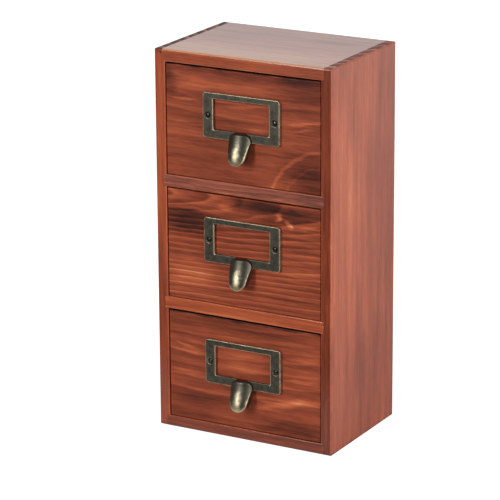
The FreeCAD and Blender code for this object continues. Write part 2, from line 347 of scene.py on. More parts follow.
        # The ripple shifts a mark's edge by some mm along and across the grain.
        ripple = stretched_noise(tree, sawn, (12.0, 4.0, 12.0), figure.seed, 3.0).outputs["Color"]
        ripple = add(tree, "VectorMath", (ripple, (0.5, 0.5, 0.5)), operation="SUBTRACT")
        torn = add(tree, "VectorMath", (ripple, (14.0, 5.0, 0.0), sawn), operation="MULTIPLY_ADD")
        bent = add(tree, "VectorMath", (ripple, (4.0, 4.0, 0.0), sawn), operation="MULTIPLY_ADD")
        for mark in figure.marks:
            spot = add(tree, "Mapping", {
                "Vector": bent if mark.hollow else torn,
                "Location": (mark.along, mark.across, 0.0),
                "Rotation": (0.0, 0.0, math.radians(mark.tilt)),
                "Scale": (mark.half_length, mark.half_width, 1000.0)}, vector_type="TEXTURE")
            off = add(tree, "VectorMath", (spot,), operation="LENGTH").outputs["Value"]
            if mark.hollow:
                off = add(tree, "Math", (off, 1.0), operation="SUBTRACT")
                off = add(tree, "MapRange", (off, -0.08, 0.025, -1.3, 1.3))
                off = add(tree, "Math", (off,), operation="ABSOLUTE")
            spot = add(tree, "MapRange", (off, 0.15, 1.25, 1.0, 0.0), interpolation_type="SMOOTHSTEP")
            tone = add(tree, "Math", (spot, mark.strength, tone), operation="MULTIPLY_ADD")
        return tone

    @staticmethod
    def rubbed_edges(tree: bpy.types.NodeTree, place: bpy.types.Node, half: list[float],
                     seed: float) -> bpy.types.Node:
        """How far the stain is rubbed off near the board's corners.

        The distance to a corner line is the middle one of the three distances to the board's faces.

        Args:
            tree: node tree of the board's material.
            place: place from the middle of the board, in mm.
            half: half sizes of the board, in mm.
            seed: number that makes the board's wear its own.

        Returns:
            Node that gives 1 on a worn corner and 0 on the face.
        """
        off = add(tree, "VectorMath", (place,), operation="ABSOLUTE")
        off = add(tree, "VectorMath", (tuple(half), off), operation="SUBTRACT")
        first, second, third = add(tree, "SeparateXYZ", (off,)).outputs
        less = add(tree, "Math", (first, second), operation="MINIMUM")
        more = add(tree, "Math", (first, second), operation="MAXIMUM")
        more = add(tree, "Math", (more, third), operation="MINIMUM")
        corner = add(tree, "Math", (less, more), operation="MAXIMUM")
        uneven = add(tree, "TexNoise", {"Vector": place, "W": seed, "Scale": 0.25, "Detail": 4.0},
                     noise_dimensions="4D")
        corner = add(tree, "Math", (uneven, -1.6, corner), operation="MULTIPLY_ADD")
        return add(tree, "MapRange", (corner, -0.7, 0.4, 1.0, 0.0), interpolation_type="SMOOTHSTEP")


@dataclass(frozen=True)
class StainedPlywood:
    """Thin three-ply pine, rotary cut, wiped once with the same stain and left matt.

    The peeled face shows wide wavy figure and fine lathe checks, and an edge shows the core ply.
    """

    name: str = "stained_plywood"
    shades: tuple[tuple[float, str], ...] = (
        (0.0, "#5A2E20"), (0.35, "#8A5139"), (0.65, "#A56A4A"), (1.0, "#BF8A66"))
    tone: float = 0.24
    waves: float = 14.0
    wave_contrast: float = 0.14
    check_contrast: float = 0.45
    core_tone: float = -0.25
    glue_line: float = 0.15
    relief_depth: float = 0.1

    def dress(self, node: str, grain: Grain, seed: float) -> None:
        """Give one packed sheet its own plywood.

        Args:
            node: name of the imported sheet.
            grain: how the face ply lies.
            seed: number that makes the sheet's figure its own.
        """
        low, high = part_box(node)
        material = new_material(f"{self.name}_{node}")
        tree = material.node_tree
        place = StainedPine.place_on_board(tree, (low + high) / 2)
        axes = add(tree, "SeparateXYZ", (place,)).outputs
        along, across, through = (axes[index] for index in grain.value)
        peeled = add(tree, "CombineXYZ", (along, across, through))
        wide = stretched_noise(tree, peeled, (120.0, 30.0, 8.0), seed, 2.0)
        wave = add(tree, "Math", (wide, self.waves), operation="MULTIPLY")
        wave = add(tree, "Math", (wave,), operation="FRACT")
        fine = stretched_noise(tree, peeled, (18.0, 0.6, 1.0), seed, 3.0)
        depth = (high - low)[grain.value[2]] / MM
        core = add(tree, "Math", (through,), operation="ABSOLUTE")
        core = add(tree, "MapRange", (core, depth / 6, depth / 6 + self.glue_line, self.core_tone, 0.0))
        tone = add(tree, "Math", (wave, self.wave_contrast, core), operation="MULTIPLY_ADD")
        tone = add(tree, "Math", (fine, self.check_contrast, tone), operation="MULTIPLY_ADD")
        tone = add(tree, "Math", (tone, self.tone), operation="ADD")
        colour = add(tree, "ValToRGB", (tone,), stops=self.shades)
        rough = add(tree, "MapRange", (tone, 0.2, 0.8, 0.62, 0.5))
        relief = add(tree, "Bump", {"Height": fine, "Strength": 0.4,
                                    "Distance": self.relief_depth * MM})
        surface = add(tree, "BsdfPrincipled", {
            "Base Color": colour, "Roughness": rough, "Normal": relief})
        add(tree, "OutputMaterial", (surface,))
        paint(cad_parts[node], material)


@dataclass(frozen=True)
class WornMetal:
    """A metal under a dark chemical finish that is rubbed off where hands and cloths reach.

    An attribute of the piece says where it is rubbed, and where painted shade darkens the frame's sill
    and the pull's root. Blotches about blotch mm across and a cast or drawn grit about grit mm across
    break up the finish. Real grit is finer than a pixel, so it is drawn coarser to show.
    """

    name: str
    dark: str
    deep: str
    bright: str
    blotch: float
    grit: float
    rough_dark: float
    rough_bright: float
    blotch_contrast: float = 0.9
    grit_contrast: float = 0.2
    relief_depth: float = 0.03

    def make(self) -> bpy.types.Material:
        """Build the material.

        Returns:
            The new material.
        """
        material = new_material(self.name)
        tree = material.node_tree
        place = add(tree, "TexCoord").outputs["Object"]
        patches = add(tree, "TexNoise", {"Vector": place, "Scale": 1 / (self.blotch * MM),
                                         "Detail": 4.0, "Roughness": 0.6})
        grit = add(tree, "TexNoise", {"Vector": place, "Scale": 1 / (self.grit * MM), "Detail": 2.0})
        worn_and_shaded = add(tree, "Attribute", attribute_name="wear_and_shade").outputs["Fac"]
        patches = add(tree, "Math", (patches, 0.5), operation="SUBTRACT")
        rubbed_and_shaded = add(tree, "Math", (patches, self.blotch_contrast, worn_and_shaded), operation="MULTIPLY_ADD")
        rubbed_and_shaded = add(tree, "Math", (grit, self.grit_contrast, rubbed_and_shaded), operation="MULTIPLY_ADD")
        shade = add(tree, "MapRange", (rubbed_and_shaded, -0.2, 1.1, 0.0, 1.0))
        colour = add(tree, "ValToRGB", (shade,), stops=(
            (0.0, self.deep), (0.32, self.dark), (0.58, self.dark), (0.95, self.bright)))
        rough = add(tree, "MapRange", (rubbed_and_shaded, 0.2, 0.9, self.rough_dark, self.rough_bright))
        relief = add(tree, "Bump", {"Height": grit, "Strength": 0.35,
                                    "Distance": self.relief_depth * MM})
        surface = add(tree, "BsdfPrincipled", {
            "Base Color": colour, "Roughness": rough, "Normal": relief, "Metallic": 1.0})
        add(tree, "OutputMaterial", (surface,))
        return material


@dataclass
class Skin:
    """A closed surface on a grid: rows follow a profile, and columns run round and meet again.

    With ring set, the last row meets the first. Otherwise the first and last rows each shrink to
    one point.
    """

    points: np.ndarray
    wear_and_shade: np.ndarray
    ring: bool

    def listed(self, grid: np.ndarray) -> np.ndarray:
        """The grid of points or of wear as one list, with each pole once."""
        rows, columns = grid.shape[:2]
        flat = grid.reshape(rows * columns, *grid.shape[2:])
        return flat if self.ring else flat[columns - 1:len(flat) - columns + 1]

    def faces(self) -> np.ndarray:
        """Corner numbers of the faces, four each, all facing outwards.

        A pole's triangles name the pole twice. The sign of the enclosed volume, a sixth of the sum
        of the corners' triple products, says whether the faces need turning.

        Returns:
            Array of four corner numbers for each face.
        """
        rows, columns, _ = self.points.shape
        number = np.arange(rows * columns).reshape(rows, columns)
        if not self.ring:
            number = np.clip(number - columns + 1, 0, (rows - 2) * columns + 1)
        below = np.concatenate([number, number[:1]]) if self.ring else number
        here = below[:-1]
        above = below[1:]
        corners = np.stack([here, np.roll(here, -1, 1), np.roll(above, -1, 1), above], -1)
        corners = corners.reshape(-1, 4)
        first, second, third, fourth = np.moveaxis(self.listed(self.points)[corners], 1, 0)
        volume = np.einsum("ij,ij->", first, np.cross(second, third))
        volume += np.einsum("ij,ij->", first, np.cross(third, fourth))
        return corners if volume > 0 else corners[:, ::-1]


def piece_from_skins(name: str, skins: list[Skin], material: bpy.types.Material) -> bpy.types.Object:
    """Put closed surfaces into one mesh object at the origin.

    Args:
        name: name of the piece.
        skins: closed surfaces of the piece.
        material: finish of the piece.

    Returns:
        The new object, smooth shaded, with its attribute of wear and painted shade.
    """
    points = [skin.listed(skin.points) for skin in skins]
    starts = np.cumsum([0] + [len(listed) for listed in points[:-1]])
    faces = np.concatenate([skin.faces() + start for skin, start in zip(skins, starts)])
    twice = faces == np.roll(faces, -1, 1)
    polar = twice.any(1)
    triangles = faces[polar][~twice[polar]].reshape(-1, 3)
    mesh = bpy.data.meshes.new(name)
    mesh.from_pydata(np.concatenate(points), [],
                     faces[~polar].tolist() + triangles.tolist())
    wear_and_shade = mesh.attributes.new("wear_and_shade", "FLOAT", "POINT")
    wear_and_shade.data.foreach_set("value", np.concatenate([skin.listed(skin.wear_and_shade) for skin in skins]))
    mesh.shade_smooth()
    mesh.materials.append(material)
    piece = bpy.data.objects.new(name, mesh)
    bpy.context.collection.objects.link(piece)
    return piece


@dataclass(frozen=True)
class LabelFrame:
    """Cast plate with a window for a card, on a rim that is open at the top."""

    plate: float = 1.2 * MM
    card_gap: float = 1.2 * MM
    rim: float = 1.2 * MM
    side_bar: float = 7.8 * MM
    top_bar: float = 4.1 * MM
    bottom_bar: float = 6.1 * MM
    corner: float = 2.0 * MM
    window_corner: float = 0.5 * MM
    edge_round: float = 0.35 * MM
    pin_spacing: float = 51.0 * MM
    seat_depth: float = 1.0 * MM
    seat_radius: float = 1.4 * MM
    mouth_radius: float = 2.4 * MM
    rub_width: float = 0.45 * MM
    seat_rub: float = 0.4 * MM
    # Small steps that keep lines of the section from meeting, or tell them apart by height.
    return_step: float = 0.02 * MM
    open_step: float = 0.05 * MM
    rim_step: float = 0.1 * MM
    face_step: float = 0.01 * MM
    # Wear, from 0 to 1, of each part of the section.
    wall_wear: float = 1.0
    window_wear: float = 0.9
    face_wear: float = 0.8
    outer_wear: float = 0.78
    side_wear: float = 0.9
    seat_wear: float = 0.55
    # Share of the rubbing that the window's sill keeps; the rest is painted shade.
    sill_shade_share: float = 0.4
    flat_steps: int = 36
    round_steps: int = 5

    def loop(self, low: Vector, high: Vector, inset: tuple[float, float, float],
             radius: float) -> np.ndarray:
        """Rounded rectangle, run round once: right side up, top, left side down, bottom.

        The upright sides have more points near their middle, where the pins are. Each corner is a
        quarter circle.

        Args:
            low: lowest corner of the frame.
            high: highest corner of the frame.
            inset: how far the sides, the top and the bottom lie inside the frame.
            radius: corner radius.

        Returns:
            Points as x and z.
        """
        sides, top, bottom = inset
        left, right = low.x + sides, high.x - sides
        foot, head = low.z + bottom, high.z - top
        even = np.linspace(-1, 1, 75)[1:-1]
        upright = 0.5 + 0.5 * np.sign(even) * np.abs(even) ** 1.5
        level = np.linspace(0, 1, 40)[1:-1]
        turn = np.radians(np.linspace(0, 90, 9))
        rise = foot + radius + (head - foot - 2 * radius) * upright
        run = left + radius + (right - left - 2 * radius) * level
        swing = radius * np.cos(turn)
        lift = radius * np.sin(turn)
        x = np.concatenate([np.full_like(rise, right), right - radius + swing, run[::-1],
                            left + radius - lift, np.full_like(rise, left),
                            left + radius - swing, run, right - radius + lift])
        z = np.concatenate([rise, head - radius + lift, np.full_like(run, head),
                            head - radius + swing, rise[::-1],
                            foot + radius - lift, np.full_like(run, foot), foot + radius - swing])
        return np.stack([x, z], -1)

    def build(self, node: str) -> Skin:
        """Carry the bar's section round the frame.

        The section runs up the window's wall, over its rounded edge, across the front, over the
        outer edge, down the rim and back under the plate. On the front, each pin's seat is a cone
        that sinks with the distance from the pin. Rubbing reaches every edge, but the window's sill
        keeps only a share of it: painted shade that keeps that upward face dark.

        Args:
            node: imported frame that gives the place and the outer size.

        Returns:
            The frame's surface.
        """
        low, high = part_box(node)
        bars = np.array([self.side_bar, self.top_bar, self.bottom_bar])
        back = self.card_gap
        front = self.card_gap + self.plate
        turn = np.linspace(0, math.pi / 2, self.round_steps)
        loops = []
        heights = []
        edges = []

        def station(inset: np.ndarray, radius: float, height: float, rubbed_and_shaded: float) -> None:
            """Note one line of the section: its rectangle, height over the wood, and wear."""
            line = self.loop(low, high, tuple(inset), radius)
            loops.append(line)
            heights.append(np.full(len(line), height))
            edges.append(np.full(len(line), rubbed_and_shaded))

        station(bars, self.window_corner, back, self.wall_wear)
        for angle in turn:
            grown = self.edge_round * (1 - math.cos(angle))
            height = front - self.edge_round * (1 - math.sin(angle))
            station(bars - grown, self.window_corner + grown, height, self.window_wear)
        for share in np.linspace(0, 1, self.flat_steps)[1:-1]:
            inset = (1 - share) * (bars - self.edge_round) + share * self.edge_round
            radius = (1 - share) * self.window_corner + share * (self.corner - self.edge_round)
            nearest = min(share, 1 - share) * self.side_bar
            station(inset, radius, front, self.face_wear * math.exp(-nearest / self.rub_width))
        for angle in turn:
            inset = self.edge_round * (1 - math.sin(angle))
            height = front - self.edge_round * (1 - math.cos(angle))
            station(np.full(3, inset), self.corner - inset, height, self.outer_wear)
        station(np.zeros(3), self.corner, 0.0, self.side_wear)
        station(np.full(3, self.rim), self.corner - self.rim, 0.0, 0.0)
        station(np.full(3, self.rim), self.corner - self.rim, back - self.return_step, 0.0)

        flat = np.stack(loops)
        height = np.stack(heights)
        wear_and_shade = np.stack(edges)
        middle = (low.z + high.z) / 2
        open_top = (np.abs(flat[..., 0]) < high.x - self.rim) & (flat[..., 1] > middle)
        below = height < back - self.rim_step
        height = np.where(open_top & below, back - self.open_step, height)
        off = np.hypot(np.abs(flat[..., 0]) - self.pin_spacing / 2, flat[..., 1] - middle)
        sunk = np.clip((self.mouth_radius - off) / (self.mouth_radius - self.seat_radius), 0, 1)
        on_face = height > front - self.face_step
        height = np.where(on_face, height - self.seat_depth * sunk, height)
        near_mouth = np.exp(-((off - self.mouth_radius) / self.seat_rub) ** 2)
        wear_and_shade = np.maximum(wear_and_shade, self.seat_wear * near_mouth)
        # Painted shade: the window's sill keeps only a share of the rubbing, so that upward face stays
        # dark.
        sill = np.abs(flat[..., 1] - low.z - self.bottom_bar) < 2 * self.edge_round
        shaded_sill = sill & (np.abs(flat[..., 0]) < high.x - self.side_bar - self.window_corner)
        wear_and_shade = np.where(shaded_sill, self.sill_shade_share * wear_and_shade, wear_and_shade)
        points = np.stack([flat[..., 0], high.y - height, flat[..., 1]], -1)
        return Skin(points, wear_and_shade, ring=True)


@dataclass(frozen=True)
class FingerPull:
    """Cast hood that leaves the frame's lower bar, swells forward and is open behind and below."""

    shoulder: float = 5.4 * MM
    taper: float = math.radians(9.2)
    stand: float = 5.0 * MM
    reach: float = 9.0 * MM
    ease: float = 2.3
    crown_radius: float = 9.6 * MM
    wall: float = 1.6 * MM
    side_wall: float = 1.5 * MM
    flank: float = 5.6 * MM
    root: float = 6.3 * MM
    rim_round: float = 1.5 * MM
    hem_round: float = 0.3 * MM
    probe: float = 0.2 * MM
    # The lip opens from this share of the drop on, within the next share.
    lip_start: float = 0.86
    lip_run: float = 0.1
    # Wear: all over, on a crest down the middle and along the rim. Less at the root is painted shade,
    # darkening the top of the hood.
    base_wear: float = 0.25
    crest_wear: float = 0.6
    crest_drop: float = 0.6
    crest_length: float = 0.4
    crest_width: float = 3.4 * MM
    rim_wear: float = 0.55
    rim_fade: float = 7.0
    root_shade: float = 0.4
    ring_steps: int = 26

    def outline(self, half: float, height: float) -> tuple[np.ndarray, np.ndarray]:
        """Hood seen from the front, run round once, with the direction out of it at each point.

        A flat top, round shoulders, straight sides that draw in by the taper, and a lip whose
        circle touches both sides.

        Args:
            half: half width at the shoulders.
            height: drop from the top to the lip.

        Returns:
            Points and outward directions, as x and drop.
        """
        sine = math.sin(self.taper)
        cosine = math.cos(self.taper)
        flat = half - self.shoulder
        lip = (flat * cosine + self.shoulder * (1 + sine) - height * sine) / (1 - sine)
        lean = math.pi / 2 + self.taper
        crest = np.linspace(-1, 1, 9)[1:-1]
        bend = np.linspace(0, lean, 25)
        sweep = np.linspace(lean, 2 * math.pi - lean, 49)
        share = np.linspace(0, 1, 17)[1:-1]

        def arc(angle: np.ndarray, x: float, drop: float, radius: float) -> tuple:
            """Arc about a centre, with angle 0 at the top and growing to the right."""
            out = np.stack([np.sin(angle), -np.cos(angle)], -1)
            return np.array([x, drop]) + radius * out, out

        right, right_out = arc(bend, flat, self.shoulder, self.shoulder)
        lower, lower_out = arc(sweep, 0.0, height - lip, lip)
        side = right[-1] + share[:, None] * (lower[0] - right[-1])
        side_out = np.repeat(right_out[-1:], len(share), 0)
        top = np.stack([crest * flat, np.zeros_like(crest)], -1)
        top_out = np.repeat(np.array([[0.0, -1.0]]), len(crest), 0)
        mirror = np.array([-1.0, 1.0])
        line = [top, right, side, lower, side[::-1] * mirror, right[::-1] * mirror]
        out = [top_out, right_out, side_out, lower_out, side_out * mirror, right_out[::-1] * mirror]
        return np.concatenate(line), np.concatenate(out)

    def crown(self, place: np.ndarray, height: float) -> np.ndarray:
        """How far the crowned face stands out from the frame's plate.

        Down the middle it is a cubic in the drop, upright at the top and drawn back a little at the
        lip. Across, it falls away as an arc of the crown radius.

        Args:
            place: points as x and drop.
            height: drop from the top to the lip.

        Returns:
            Distance forward of the plate.
        """
        run = place[..., 1] / height
        square = 1.5 * (1 + self.ease)
        cube = 0.5 + 1.5 * self.ease
        forward = self.stand + (self.reach - self.stand) * (square * run ** 2 - cube * run ** 3)
        sagitta = self.crown_radius - np.sqrt(self.crown_radius ** 2 - place[..., 0] ** 2)
        return forward - sagitta

    def build(self, node: str, plate_front: float) -> Skin:
        """Run from the middle of the face, over the rim, back along the flank and into the hollow.

        The flanks stand as deep as their named depth, or to the frame's plate, and end short of the
        lip, which is open. Over the frame's bar the hood is solid down to the plate.

        Args:
            node: packed pull that gives the place and the outer size.
            plate_front: y of the frame's front.

        Returns:
            The pull's surface.
        """
        low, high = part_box(node)
        height = high.z - low.z
        line, out = self.outline((high.x - low.x) / 2, height)
        middle = np.array([0.0, height * 0.5])
        grow = np.linspace(0, 1, self.ring_steps)[:, None, None]
        steps = np.linspace(0, 1, 9)[1:, None]
        quarter = steps * math.pi / 2

        edge = self.crown(line, height)
        tilt = np.arctan((self.crown(line - self.probe * out, height) - edge) / self.probe)
        turn = tilt + steps * (math.pi / 2 - tilt)
        tangent = self.rim_round * (1 - np.sin(tilt))
        rise = (1 - np.sin(tilt)) * np.tan(tilt) - np.cos(tilt)
        lip = np.clip((line[:, 1] / height - self.lip_start) / self.lip_run, 0, 1)
        sided = 1 - lip ** 2 * (3 - 2 * lip)
        depth = self.wall + (self.flank - self.wall) * sided
        rear = np.where(line[:, 1] > self.root, np.maximum(edge - depth, 0), 0)
        thick = np.maximum(self.side_wall * sided, self.hem_round)

        face = middle + grow * (line - tangent[:, None] * out - middle)
        rim = line - (self.rim_round * (1 - np.sin(turn)))[..., None] * out
        flank = np.repeat(line[None], len(steps), 0)
        under = line - (self.hem_round * (1 - np.cos(quarter)))[..., None] * out
        inner = line - thick[:, None] * out
        hollow = middle + grow[::-1] * (inner - middle)

        rim_height = edge + self.rim_round * (rise + np.cos(turn))
        flank_height = rim_height[-1] - steps * (rim_height[-1] - rear - self.hem_round)
        under_height = rear + self.hem_round * (1 - np.sin(quarter))
        inside = np.where(hollow[..., 1] > self.root, self.crown(hollow, height) - self.wall, 0)
        forward = np.concatenate([self.crown(face, height), rim_height, flank_height, under_height,
                                  rear[None], inside])
        forward = forward * (plate_front - low.y) / forward.max()
        flat = np.concatenate([face, rim, flank, under, inner[None], hollow])

        low_down = np.clip(face[..., 1] / height, 0, 1)
        crest = np.exp(-((low_down - self.crest_drop) / self.crest_length) ** 2
                       - (face[..., 0] / self.crest_width) ** 2)
        near_rim = np.exp(-self.rim_fade * (1 - grow[..., 0]))
        # The root's term is painted shade, darkening the top of the hood.
        rubbed_and_shaded = (self.base_wear + self.crest_wear * crest + self.rim_wear * near_rim * low_down
                  - self.root_shade * (1 - low_down) ** 5)
        rim_rubbed = np.repeat(np.clip(line[None, :, 1] / height, 0, 1) ** 0.5, len(rim), 0)
        unrubbed = np.zeros((len(flat) - len(face) - len(rim), len(line)))
        wear_and_shade = np.concatenate([rubbed_and_shaded, rim_rubbed, unrubbed])
        points = np.stack([flat[..., 0], plate_front - forward, high.z - flat[..., 1]], -1)
        return Skin(points, wear_and_shade, ring=False)


@dataclass(frozen=True)
class FramePins:
    """Two round-headed pins, driven through the frame's side bars into the drawer front."""

    spacing: float = 51.0 * MM
    head_radius: float = 1.4 * MM
    head_height: float = 0.7 * MM
    shank_radius: float = 0.8 * MM
    point: float = 1.6 * MM
    dome_wear: float = 0.5
    dome_rub: float = 0.25 * MM
    sides: int = 36

    def build(self, node: str) -> list[Skin]:
        """Turn the pin's outline about its axis: low dome, head, shank and point.

        Args:
            node: packed pins that give the place and the length.

        Returns:
            One surface for each pin.
        """
        low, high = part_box(node)
        length = high.y - low.y
        dome = np.radians(np.linspace(0, 90, 9))
        edge = np.array([self.head_radius, self.shank_radius, self.shank_radius, 0.0])
        radius = np.concatenate([self.head_radius * np.sin(dome), edge])
        drop = np.array([self.head_height, self.head_height, length - self.point, length])
        depth = np.concatenate([self.head_height / 2 * (1 - np.cos(dome)), drop])
        angle = np.linspace(0, 2 * math.pi, self.sides, endpoint=False)
        middle = (low.z + high.z) / 2
        wear_and_shade = np.repeat(np.exp(-depth / self.dome_rub)[:, None] * self.dome_wear, self.sides, 1)
        skins = []
        for hand in (-1, 1):
            x = hand * self.spacing / 2 + radius[:, None] * np.cos(angle)
            z = middle + radius[:, None] * np.sin(angle)
            y = np.repeat(low.y + depth[:, None], self.sides, 1)
            skins.append(Skin(np.stack([x, y, z], -1), wear_and_shade, ring=False))
        return skins


@dataclass
class Finishes:
    """The finishes that the cabinet's pieces share."""

    case_pine: StainedPine
    top_pine: StainedPine
    front_pine: StainedPine
    box_pine: StainedPine
    plywood: StainedPlywood
    antique_brass: bpy.types.Material
    blackened_steel: bpy.types.Material
    drawn_wire: bpy.types.Material

    @classmethod
    def mix(cls) -> "Finishes":
        """Mix every finish once.

        Returns:
            The set of finishes.
        """
        stain = ((0.0, "#22100C"), (0.2, "#471E14"), (0.4, "#73331F"), (0.55, "#8E432B"),
                 (0.72, "#AB5536"), (0.88, "#C16C45"), (1.0, "#D69268"))
        # Brass cast in sand, blackened in a sulphur bath and rubbed back: dull olive grey, with
        # pale yellow metal on the edges and the crown of the pull.
        brass = WornMetal("antique_brass", dark="#5E5A4F", deep="#383630", bright="#D3C4A2",
                          blotch=3.0, grit=0.5, rough_dark=0.48, rough_bright=0.48)
        # Steel wire pins, headed cold and blued: nearly black, with a grey glint on the dome.
        steel = WornMetal("blackened_steel", dark="#4A4740", deep="#2A2825", bright="#A29C8E",
                          blotch=2.0, grit=0.3, rough_dark=0.4, rough_bright=0.3)
        # Bright drawn steel wire, a little dulled: even pale grey with fine drawing marks.
        wire = WornMetal("drawn_steel_wire", dark="#8E8C88", deep="#6C6862", bright="#B9B7B2",
                         blotch=1.5, grit=0.25, rough_dark=0.38, rough_bright=0.3)
        return cls(
            case_pine=StainedPine("stained_pine_case", stain, front_polish=0.16, end_rings=1.0),
            top_pine=StainedPine("stained_pine_top", stain, lacquer=0.74, front_polish=0.16),
            front_pine=StainedPine("stained_pine_front", stain, gloss=0.4, polish=0.15),
            box_pine=StainedPine("stained_pine_box", stain, gloss=0.5),
            plywood=StainedPlywood(),
            antique_brass=brass.make(),
            blackened_steel=steel.make(),
            drawn_wire=wire.make())


@dataclass
class Case:
    """Glued case: two sides, top, bottom, two dividers and a nailed plywood back."""

    finishes: Finishes

    def figures(self) -> dict[str, Figure]:
        """How each board of the case was sawn.

        Returns:
            A figure for each packed board.
        """
        return {
            "left_side_panel": Figure(
                Grain.UPRIGHT, 1.3, tone=0.62, ring_width=9.0, pith_across=60.0, pith_depth=50.0,
                ring_contrast=0.1, marks=(
                    Mark(-80, -47.5, 80, 30, -0.1),
                    # Painted shade along the bottom edge, where the case meets the table.
                    Mark(-136, 0, 3, 300, -0.3),
                    Mark(136, 0, 2, 300, -0.3))),
            "right_side_panel": Figure(
                Grain.UPRIGHT, 7.9, tone=0.605, ring_width=9.0, pith_across=75.0, pith_depth=-60.0,
                ring_contrast=0.07, front_tone=-0.2, marks=(
                    # Painted light and shade: lighter towards the front of the side face, darker
                    # towards its back.
                    Mark(20, -28, 110, 24, 0.13),
                    Mark(50, 30, 120, 24, -0.1),
                    Mark(-100, 10, 60, 50, -0.08),
                    # Painted shade along the bottom edge, where the case meets the table.
                    Mark(-136, 0, 3, 300, -0.3),
                    # Painted shade on the rounded back edge.
                    Mark(0, 48, 400, 3, -0.45))),
            "top_panel": Figure(
                Grain.SHELF, 3.7, tone=0.69, ring_width=6.0, pith_depth=-45.0, ring_contrast=0.1,
                streak_contrast=0.18, front_tone=-0.38, marks=(
                    # Painted light: a paler front half of the top, standing in for its sheen.
                    Mark(0, -36, 140, 34, 0.32),
                    Mark(-55, -47, 40, 6, 0.06),
                    Mark(35, 20, 18, 6, -0.2),
                    # Painted shade on the rounded back edge.
                    Mark(0, 48, 400, 1.5, -0.4))),
            "upper_divider": Figure(
                Grain.SHELF, 12.1, tone=0.5, ring_width=2.2, pith_depth=-40.0, slope=0.05,
                lean=0.05, ring_contrast=0.3, streak_contrast=0.32, front_tone=-0.04, marks=(
                    Mark(60, -47, 24, 14, -0.12),)),
            "lower_divider": Figure(
                Grain.SHELF, 15.4, tone=0.66, ring_width=4.0, pith_depth=40.0, ring_contrast=0.18),
            "bottom_panel": Figure(
                Grain.SHELF, 18.2, tone=0.41, ring_width=4.0, pith_depth=35.0, ring_contrast=0.12,
                marks=(
                    Mark(55, -47, 36, 14, -0.1),)),
        }

    def dress(self) -> None:
        """Finish the boards, the back and its brads."""
        special = {"top_panel": self.finishes.top_pine, "upper_divider": self.finishes.box_pine}
        for node, figure in self.figures().items():
            special.get(node, self.finishes.case_pine).dress(node, figure)
            LOG.info("finished %s", node)
        self.finishes.plywood.dress("back_panel", Grain.BACK, 4.2)
        paint(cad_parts["back_panel_brads"], self.finishes.drawn_wire)
        LOG.info("finished back_panel and back_panel_brads")


@dataclass
class Drawer:
    """One drawer: a front with its label frame and pull, and a nailed box behind it."""

    number: int
    finishes: Finishes
    figure: Figure

    @property
    def body(self) -> str:
        """Name of the moving body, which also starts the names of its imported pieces."""
        return f"drawer_{self.number}"

    def dress(self) -> None:
        """Finish the front, the box's boards, the floor and the brads."""
        seed = 20.0 + 9.0 * self.number
        self.finishes.front_pine.dress(f"{self.body}_front", self.figure)
        walls = (("left_side", Grain.DRAWER_WALL), ("right_side", Grain.DRAWER_WALL),
                 ("back", Grain.FRONT))
        for order, (wall, grain) in enumerate(walls):
            sawn = Figure(grain, seed + order, tone=0.6, ring_width=4.0 + order,
                          pith_across=-30.0 + 20.0 * order, pith_depth=26.0, ring_contrast=0.12)
            self.finishes.box_pine.dress(f"{self.body}_{wall}", sawn)
        self.finishes.plywood.dress(f"{self.body}_bottom", Grain.SHELF, seed)
        paint(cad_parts[f"{self.body}_brads"], self.finishes.drawn_wire)
        LOG.info("finished the boards of %s", self.body)

    def build(self) -> None:
        """Build the label frame, its pins and the finger pull on the drawer's front."""
        frame_node = f"{self.body}_label_frame"
        plate_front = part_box(frame_node)[0].y
        pieces = (
            ("label_frame", [LabelFrame().build(frame_node)], self.finishes.antique_brass,
             "antique_brass"),
            ("finger_pull", [FingerPull().build(f"{self.body}_finger_pull", plate_front)],
             self.finishes.antique_brass, "antique_brass"),
            ("frame_pins", FramePins().build(f"{self.body}_frame_pins"),
             self.finishes.blackened_steel, "blackened_steel_pin"))
        for kind, skins, material, slot in pieces:
            piece = piece_from_skins(f"fine_{kind}_{self.number}", skins, material)
            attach(piece, self.body)
            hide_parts(f"{self.body}_{kind}")
            LOG.info("built %s: %d points", piece.name, len(piece.data.vertices))


